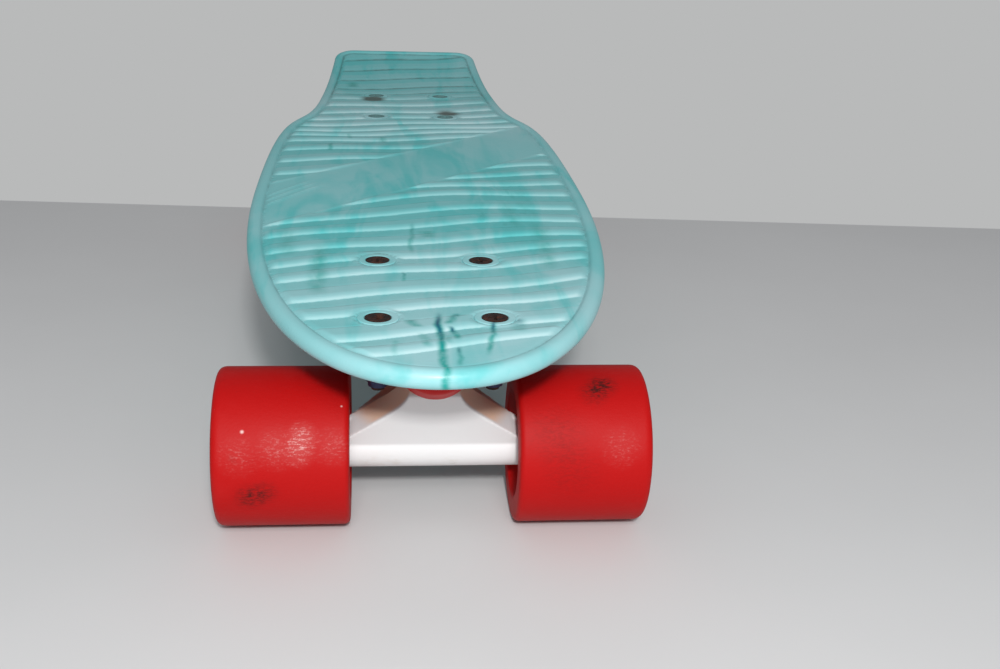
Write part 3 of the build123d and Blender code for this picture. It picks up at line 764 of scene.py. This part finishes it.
def deck_finish(deck):
    """Pale marbled plastic with teal streaks, a painted highlight on the ridges' fronts, grime and painted
    shade in the creases, painted shade before each ridge, and fine scuffs.
    """
    f = Finish("deck_plastic", coat_weight=0.08, coat_roughness=0.25)
    f.set("Specular IOR Level", 0.4)
    x, y = f.split()[:2]
    top = deck_top(deck)
    clouds = f.noise(16, (1, 0.6, 1), 4, 0.55, 1.4)
    drawn = f.noise(60, (1, 0.18, 1), 3, 0.55, 0.8, (3.1, 0.4, 0))
    wobble = f.noise(70, (0.4, 1, 1), 3, 0.55, 0.0, (0.7, 2.2, 0)) - 0.5
    break_up = f.noise(240, (1, 0.5, 1), 3, 0.6)
    rise = f.mark("rise")
    aside = (x - 0.006) / 0.066
    ahead = (y + 0.215) / 0.088
    pale = 1 - (aside * aside + ahead * ahead).step(0.2, 1.3)
    rear = y.step(0.03, 0.08) * (1 - y.step(0.14, 0.19))
    tint = clouds.step(0.35, 0.70) * 0.4 + drawn.step(0.48, 0.68) * 0.4 + 0.36 - pale * 0.47 - rear * 0.40
    # The deep mark adds painted shade before each ridge, and a plain deeper tint on the band.
    tint = (tint + f.mark("deep") * 0.25).most(0.0).least(1.0)
    base = f.mix(tint, deck.pale, deck.aqua)
    # Painted highlight on the ridges' fronts, the band's lip and its raised lines.
    base = f.mix((rise * 0.55).least(0.6), base, f.mix(tint, deck.highlight_tone, deck.aqua_highlight_tone))
    teal = None
    ink = None
    for (x0, y0), (x1, y1), width, strength, dark in STREAKS:
        along = (y - y0 * MM) / ((y1 - y0) * MM)
        centre = along * ((x1 - x0) * MM) + x0 * MM + wobble * (5.0 * MM)
        beside = abs(x - centre) / (width * MM)
        body = (1 - beside.step(0.0, 1.3)) * along.step(-0.10, 0.16) * (1 - along.step(0.80, 1.10))
        body = body * (break_up.step(0.28, 0.60) * 0.6 + 0.4) * strength
        core = body * (1 - beside.step(0.0, 0.9)) * (1 - along.step(0.0, 0.6)) * dark
        teal = body if teal is None else teal.most(body)
        ink = core if ink is None else ink.most(core)
    faint = drawn.step(0.64, 0.80) * break_up.step(0.4, 0.6) * 0.4
    base = f.mix(teal.most(faint), base, deck.teal)
    base = f.mix(ink, base, deck.ink)
    dust = f.noise(120, (1, 1, 1), 4, 0.65, 0, (1, 5, 2))
    crease = f.mark("crease")
    soiled = f.spot((-0.030, 0.036, top), 0.036) * 0.5 + f.spot((-0.0207, -0.159, top), 0.010) * 0.6
    tail = y.step(0.13, 0.19)
    # Grime and painted shade in the creases and grooves, and real dirt beside two rear screws.
    dark_marks = crease * (dust.step(0.30, 0.75) * 0.35 + soiled + tail * 0.35)
    for across, along in SCREW_DIRT:
        dark_marks = dark_marks.most(f.spot((across * MM, along * MM, top), 11 * MM) * break_up.step(0.22, 0.42) * 1.5)
    base = f.mix(dark_marks.least(0.9), base, deck.dark_tone)
    scratch = f.noise(900, (0.06, 1, 1), 2, 0.6)
    f.set("Base Color", base)
    f.set("Roughness", 0.38 + dust * 0.12 + scratch.step(0.55, 0.75) * 0.12 + crease * 0.15)
    f.bump(f.noise(1500, (1, 1, 1), 2) * 0.35 + scratch.step(0.6, 0.8) * 0.5 + clouds * 0.6, 0.00009)
    return f.material


class CRUISER_OT_deck(bpy.types.Operator):
    """Build the moulded deck with its rim, ridges, ribs and screw seats"""

    bl_idname = "cruiser.deck"
    bl_label = "Deck"

    def execute(self, context):
        deck = context.scene.cruiser_deck
        finish = deck_finish(deck)
        field = deck_field(deck).mesh("deck_field", 60)
        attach(place("deck_field", field, finish, ["deck"]), "board")
        for name, build in (("deck_rim", deck_rim), ("deck_ribs", deck_ribs), ("screw_seats", screw_seats)):
            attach(place(name, build(deck).mesh(name, 50), finish), "board")
        return {"FINISHED"}


# Marks on the front wheels' treads: millimetres along the axle, degrees up from level, reach, strength
CHIPS = ((-68.7, 36, 1.0, 0.8), (-33.7, 54, 0.6, 0.6))
# The scuffs are partly chalk and partly painted sheen: a pale band at the height where the light shines off
# both treads.
SCUFFS_AND_SHEEN = ((-47.6, 32, 7, 0.42), (-48.5, 21, 7, 0.28), (-56.3, 24, 10, 0.18), (-70, 19, 10, 0.10),
          (-37, 25, 9, 0.12), (68, 23, 10, 0.11))
SMUDGES = ((-66.4, -12, 8, 1.0), (-61, -8, 7, 0.8), (62.7, 72, 8, 1.5), (59, 64, 8, 0.9), (44, 33, 16, 0.35),
           (50, 6, 16, 0.3))


def tread_point(across, lift):
    """Point on the front wheels' treads, so many millimetres along the axle and degrees up from level."""
    _, y, z = middle("front_left_wheel")
    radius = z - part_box("front_left_wheel")[0].z
    turn = np.radians(lift)
    return across * MM, y - radius * np.cos(turn), z + radius * np.sin(turn)


def wheel_profile(wheel, width, radius):
    """Closed section of a wheel as distance from its inner face and radius, with eased corners."""
    w = width / MM
    r = radius / MM
    shoulder = wheel.outer_round / MM
    edge = wheel.inner_round / MM
    section = [(11.2, 9.3), (11.2, 13.2), (0.0, 20.5), (0.0, r), (w, r), (w - 1.5, 16.0), (w - 14.4, 13.2),
               (w - 14.4, 9.3)]
    easing = (0.1, 2.0, 1.2, 1.3 * edge, 1.3 * shoulder, 2.0, 1.2, 0.1)
    return rounded(section, easing, 10) * MM


def wheel_finish(wheel):
    """Red urethane with a rubbed tread, chalky scratches that also paint the treads' sheen, ground-in dirt
    and worn edges.
    """
    f = Finish("wheel_urethane")
    f.set("Specular IOR Level", 0.15)
    rub = f.noise(42, (0.7, 1, 1), 5, 0.6, 0.5)
    fine = f.noise(1400, (0.35, 1, 1), 5, 0.72)
    specks = f.noise(1300, (1, 1, 1), 2, 0.5)
    grit = fine.step(0.46, 0.72) * specks.step(0.30, 0.62) * 1.5 + 0.15
    soot = fine.step(0.32, 0.72)

    def marks(places, texture):
        """Soft spots on the treads, broken up by a texture."""
        return sum(f.spot(tread_point(across, lift), reach * MM) * texture * strength
                   for across, lift, reach, strength in places)

    dark_marks = marks(SMUDGES, soot)
    # Chalk on the treads; the scuffs also paint their sheen.
    chalk_and_sheen = marks(CHIPS, 1.0) + marks(SCUFFS_AND_SHEEN, grit) + specks.step(0.78, 0.84) * rub.step(0.45, 0.6) * 0.4
    base = f.mix(rub.step(0.48, 0.78) * 0.4, wheel.red, wheel.worn)
    base = f.mix((rub.step(0.36, 0.24) * 0.3 + dark_marks).least(1.0), base, wheel.dark_tone)
    base = f.mix(chalk_and_sheen.least(0.9), base, wheel.chalk_and_sheen_tone)
    f.set("Base Color", base)
    f.set("Roughness", 0.46 + rub * 0.2 + dark_marks * 0.1)
    f.bump(fine * 0.5 + specks * 0.3 + rub * 0.8, 0.00016)
    return f.material


class CRUISER_OT_wheels(bpy.types.Operator):
    """Build the four wheels"""

    bl_idname = "cruiser.wheels"
    bl_label = "Wheels"

    def execute(self, context):
        wheel = context.scene.cruiser_wheel
        finish = wheel_finish(wheel)
        for end in ENDS:
            for side in SIDES:
                node = f"{end}_{side}_wheel"
                low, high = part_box(node)
                centre = middle(node)
                outward = np.sign(centre[0])
                centre[0] = low.x if outward > 0 else high.x
                profile = wheel_profile(wheel, high.x - low.x, (high.z - low.z) / 2)
                shell = Shell()
                surface = spun(profile, centre, (outward, 0, 0), wheel.turns)
                shell.grid(surface, wrap_rows=True, wrap_columns=True)
                piece = place(f"{node}_tyre", shell.mesh(node, 45), finish, [node])
                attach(piece, node)
        return {"FINISHED"}


def softened(node, size):
    """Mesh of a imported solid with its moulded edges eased: merged, rebuilt on a fine grid and smoothed."""
    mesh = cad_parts[node].data.copy()
    work = bmesh.new()
    work.from_mesh(mesh)
    bmesh.ops.remove_doubles(work, verts=work.verts, dist=1e-6)
    work.to_mesh(mesh)
    work.free()
    scratch = bpy.data.objects.new("scratch", mesh)
    bpy.context.scene.collection.objects.link(scratch)
    rebuild = scratch.modifiers.new("rebuild", "REMESH")
    rebuild.mode = "VOXEL"
    rebuild.voxel_size = size
    ease = scratch.modifiers.new("ease", "SMOOTH")
    ease.factor = 0.5
    ease.iterations = 4
    graph = bpy.context.evaluated_depsgraph_get()
    result = bpy.data.meshes.new_from_object(scratch.evaluated_get(graph))
    bpy.data.objects.remove(scratch)
    result.shade_smooth()
    return result


def hanger_finish(truck):
    """White moulded plastic with dust, stains low on the front, painted warm shade on the wings where the
    deck's shadow falls, and fine marks.
    """
    f = Finish("white_plastic", coat_weight=0.1, coat_roughness=0.25)
    y, z = f.split()[1:]
    dust = f.noise(55, (1, 1, 1), 5, 0.6, 0.4)
    fine = f.noise(800, (0.3, 1, 1), 3, 0.6)
    low = 1 - z.step(0.020, 0.032)
    stain = low * dust.step(0.52, 0.68) * fine.step(0.4, 0.6) * 0.35 + dust.step(0.6, 0.85) * 0.10
    front, rear = (middle(f"{end}_axle") for end in ENDS)
    outboard = abs(y - float(front[1] + rear[1]) / 2) - float(rear[1] - front[1]) / 2
    behind = (z - float(front[2])) * truck.arm_lean - outboard
    # Painted shade on the wings' upper faces, behind the arm's front and high up, where the deck's shadow
    # falls; broken up a little by the dust.
    wing_shade = behind.step(-0.0060, -0.0040) * z.step(0.0415, 0.0460) * (dust.step(0.2, 0.6) * 0.3 + 0.5)
    base = f.mix(stain, truck.white, truck.stain)
    f.set("Base Color", f.mix(wing_shade, base, truck.wing_shade))
    f.set("Roughness", 0.38 + dust * 0.2)
    f.bump(fine * 0.4 + dust * 0.5, 0.0001)
    return f.material


def plain_finish(name, base, second, scale, rough, share=0.4, metallic=0.0, grain=0.00008, shine=0.5):
    """Everyday finish: two tones in fine clouds, a roughness that varies, and a fine grain."""
    f = Finish(name, metallic=metallic)
    f.set("Specular IOR Level", shine)
    clouds = f.noise(scale, (1, 1, 1), 4, 0.6, 0.3)
    fine = f.noise(scale * 9, (1, 1, 1), 2, 0.5)
    f.set("Base Color", f.mix(clouds.step(0.35, 0.75) * share, base, second))
    f.set("Roughness", rough + clouds * 0.2 + fine * 0.06 - 0.1)
    f.bump(fine * 0.7 + clouds * 0.5, grain)
    return f.material


class CRUISER_OT_hangers(bpy.types.Operator):
    """Build the two white hangers with moulded edges"""

    bl_idname = "cruiser.hangers"
    bl_label = "Hangers"

    def execute(self, context):
        truck = context.scene.cruiser_truck
        finish = hanger_finish(truck)
        for end in ENDS:
            mesh = softened(f"{end}_hanger", truck.rounding)
            piece = place(f"{end}_hanger_moulding", mesh, finish, [f"{end}_hanger"])
            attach(piece, f"{end}_truck")
        return {"FINISHED"}


class CRUISER_OT_baseplates(bpy.types.Operator):
    """Build the two red baseplates and finish their pivot cups"""

    bl_idname = "cruiser.baseplates"
    bl_label = "Baseplates"

    def execute(self, context):
        truck = context.scene.cruiser_truck
        red = plain_finish("red_plastic", truck.red, truck.dull_red, 60, 0.5, shine=0.2)
        rubber = plain_finish("pivot_rubber", truck.cup, truck.dusty_cup, 90, 0.65)
        for end in ENDS:
            mesh = softened(f"{end}_baseplate", truck.rounding)
            piece = place(f"{end}_baseplate_moulding", mesh, red, [f"{end}_baseplate"])
            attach(piece, "board")
            paint(f"{end}_pivot_cup", rubber)
        return {"FINISHED"}


class CRUISER_OT_bushings(bpy.types.Operator):
    """Build the soft bushings between the board and the hanger"""

    bl_idname = "cruiser.bushings"
    bl_label = "Bushings"

    def execute(self, context):
        truck = context.scene.cruiser_truck
        finish = plain_finish("bushing_urethane", truck.bushing, truck.dull_bushing, 80, 0.45)
        barrel = [(3.0, 5.05), (3.0, 11.8), (9.5, 12.4), (16.0, 11.8), (16.0, 5.05)]
        cone = [(-3.0, 5.05), (-3.0, 11.9), (-6.0, 11.7), (-13.0, 9.0), (-13.0, 5.05)]
        for end, outboard in zip(ENDS, (-1, 1)):
            axis = np.array((0, outboard * np.sin(truck.lean), np.cos(truck.lean)))
            for name, section in (("upper", barrel), ("lower", cone)):
                node = f"{end}_{name}_bushing"
                centre = middle(node) - axis * (section[0][0] + section[-1][0]) / 2 * MM
                profile = rounded(section, (0.3, 1.2, 2.0, 1.2, 0.3), 8) * MM
                shell = Shell()
                shell.grid(spun(profile, centre, axis, 72), wrap_rows=True, wrap_columns=True)
                piece = place(f"{node}_urethane", shell.mesh(node, 50), finish, [node])
                near = centre + axis * section[0][0] * MM
                far = centre + axis * section[-1][0] * MM
                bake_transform(piece)
        return {"FINISHED"}


class CRUISER_OT_hardware(bpy.types.Operator):
    """Finish the screws, nuts, kingpins, axles, washers and bearings"""

    bl_idname = "cruiser.hardware"
    bl_label = "Hardware"

    def execute(self, context):
        metal = context.scene.cruiser_hardware
        worn = {"grain": 0.0003, "shine": 0.2}
        screw = plain_finish("dark_screw", metal.screw, metal.rust, 420, 0.6, 0.7, **worn)
        dusty = plain_finish("dusty_screw", metal.dust, metal.screw, 260, 0.7, 0.35, **worn)
        nut = plain_finish("blue_nut", metal.nut, metal.dull_nut, 260, 0.42, 0.6, 0.4)
        steel = plain_finish("plated_steel", metal.steel, metal.dull_steel, 180, 0.34, 0.6, 0.95)
        ring = plain_finish("bearing_steel", metal.bearing, metal.dull_bearing, 220, 0.28, 0.4, 1.0)
        shield = plain_finish("shield_steel", metal.bearing, metal.dull_shield, 200, 0.4, 0.5, 0.9)
        kinds = {"deck_screws": screw, "deck_nuts": nut, "bearing_inner_rings": ring}
        for kind in ("kingpin", "kingpin_nut", "upper_bushing_washer", "lower_bushing_washer", "axle",
                     "axle_nuts", "axle_washers", "bearing_spacers"):
            kinds[kind] = steel
        for side in SIDES:
            kinds[f"{side}_bearing_outer_rings"] = ring
            kinds[f"{side}_bearing_balls"] = ring
            kinds[f"{side}_bearing_shields"] = shield
        for end in ENDS:
            for kind, finish in kinds.items():
                paint(f"{end}_{kind}", finish)
        paint("rear_deck_screws", dusty)
        return {"FINISHED"}


def stand(name, data, right, up, back, spot):
    """Object for a lamp or a camera, whose own axes point to the right, up and back."""
    turn = np.eye(4)
    turn[:3] = np.column_stack((right, up, back, np.array(spot)))
    piece = bpy.data.objects.new(name, data)
    piece.matrix_world = Matrix(turn.tolist())
    bpy.context.scene.collection.objects.link(piece)
    return piece


def lamp(name, power, size, spot, target):
    """A square soft light that faces its target."""
    data = bpy.data.lights.new(name, "AREA")
    data.energy = power
    data.size = size
    back = np.array(spot) - np.array(target)
    back /= np.linalg.norm(back)
    right = np.cross((0, 1, 0), back)
    right /= np.linalg.norm(right)
    stand(name, data, right, np.cross(back, right), back, spot)


class CRUISER_OT_stage(bpy.types.Operator):
    """Set up the floor, the plain background, the lights and the camera"""

    bl_idname = "cruiser.stage"
    bl_label = "Stage"

    def execute(self, context):
        stage = context.scene.cruiser_stage
        across = np.linspace(-stage.reach, stage.reach, 9)
        edge = stage.edge_place - stage.edge_slope * across
        level = np.zeros_like(edge)
        f = Finish("pale_floor")
        clouds = f.noise(3, (1, 1, 1), 4, 0.6).step(0.3, 0.8)
        f.set("Base Color", f.mix(clouds, stage.floor, stage.floor * 0.95))
        f.set("Roughness", 0.6 + f.noise(9, (1, 1, 1), 3) * 0.15)
        sheet = Shell()
        sheet.grid(np.stack([np.column_stack((across, y, level)) for y in (level - stage.reach, edge)]))
        mesh = sheet.mesh("floor", 40)
        mesh.materials.append(f.material)
        piece = bpy.data.objects.new("floor", mesh)
        context.scene.collection.objects.link(piece)
        lamp("key", stage.key_power, stage.key_size, stage.key_place, stage.key_target)
        lamp("fill", stage.fill_power, stage.fill_size, stage.fill_place, stage.fill_target)
        world = bpy.data.worlds.new("studio")
        world.use_nodes = True
        nodes = world.node_tree.nodes
        links = world.node_tree.links
        seen = nodes.new("ShaderNodeMix")
        seen.data_type = "RGBA"
        seen.inputs[6].default_value = (*(stage.sky_tone * stage.sky), 1)
        seen.inputs[7].default_value = (*stage.wall, 1)
        links.new(nodes.new("ShaderNodeLightPath").outputs["Is Camera Ray"], seen.inputs[0])
        links.new(seen.outputs[2], nodes["Background"].inputs["Color"])
        context.scene.world = world

        ahead = np.array((np.sin(stage.yaw), np.cos(stage.yaw), 0))
        forward = ahead * np.cos(stage.pitch) - np.array((0, 0, np.sin(stage.pitch)))
        right = np.array((np.cos(stage.yaw), -np.sin(stage.yaw), 0))
        up = np.cross(right, forward)
        rolled_right = right * np.cos(stage.roll) + up * np.sin(stage.roll)
        rolled_up = up * np.cos(stage.roll) - right * np.sin(stage.roll)
        data = bpy.data.cameras.new("camera")
        data.lens = stage.focal
        data.sensor_width = 36
        data.sensor_fit = "HORIZONTAL"
        data.clip_start = 0.01
        context.scene.camera = stand("camera", data, rolled_right, rolled_up, -forward, stage.camera)
        context.scene.view_settings.view_transform = "Standard"
        return {"FINISHED"}


STEPS = (CRUISER_OT_deck, CRUISER_OT_wheels, CRUISER_OT_hangers, CRUISER_OT_baseplates, CRUISER_OT_bushings,
         CRUISER_OT_hardware, CRUISER_OT_stage)
SETTINGS = {"cruiser_deck": DeckSettings, "cruiser_wheel": WheelSettings, "cruiser_truck": TruckSettings,
            "cruiser_hardware": HardwareSettings, "cruiser_stage": StageSettings}


class CRUISER_PT_panel(bpy.types.Panel):
    """Lists the steps that build the skateboard"""

    bl_label = "Cruiser skateboard"
    bl_idname = "CRUISER_PT_panel"
    bl_space_type = "VIEW_3D"
    bl_region_type = "UI"
    bl_category = "Cruiser"

    def draw(self, context):
        for step in STEPS:
            self.layout.operator(step.bl_idname)


def register():
    """Register the settings, the steps and the panel."""
    for name, kind in SETTINGS.items():
        bpy.utils.register_class(kind)
        setattr(bpy.types.Scene, name, PointerProperty(type=kind))
    for kind in (*STEPS, CRUISER_PT_panel):
        bpy.utils.register_class(kind)


def unregister():
    """Remove them again."""
    for kind in (CRUISER_PT_panel, *reversed(STEPS)):
        bpy.utils.unregister_class(kind)
    for name, kind in SETTINGS.items():
        delattr(bpy.types.Scene, name)
        bpy.utils.unregister_class(kind)


def main():
    """Build everything in order."""
    register()
    bpy.ops.cruiser.deck()
    bpy.ops.cruiser.wheels()
    bpy.ops.cruiser.hangers()
    bpy.ops.cruiser.baseplates()
    bpy.ops.cruiser.bushings()
    bpy.ops.cruiser.hardware()
    bpy.ops.cruiser.stage()


if __name__ == "__main__":
    main()
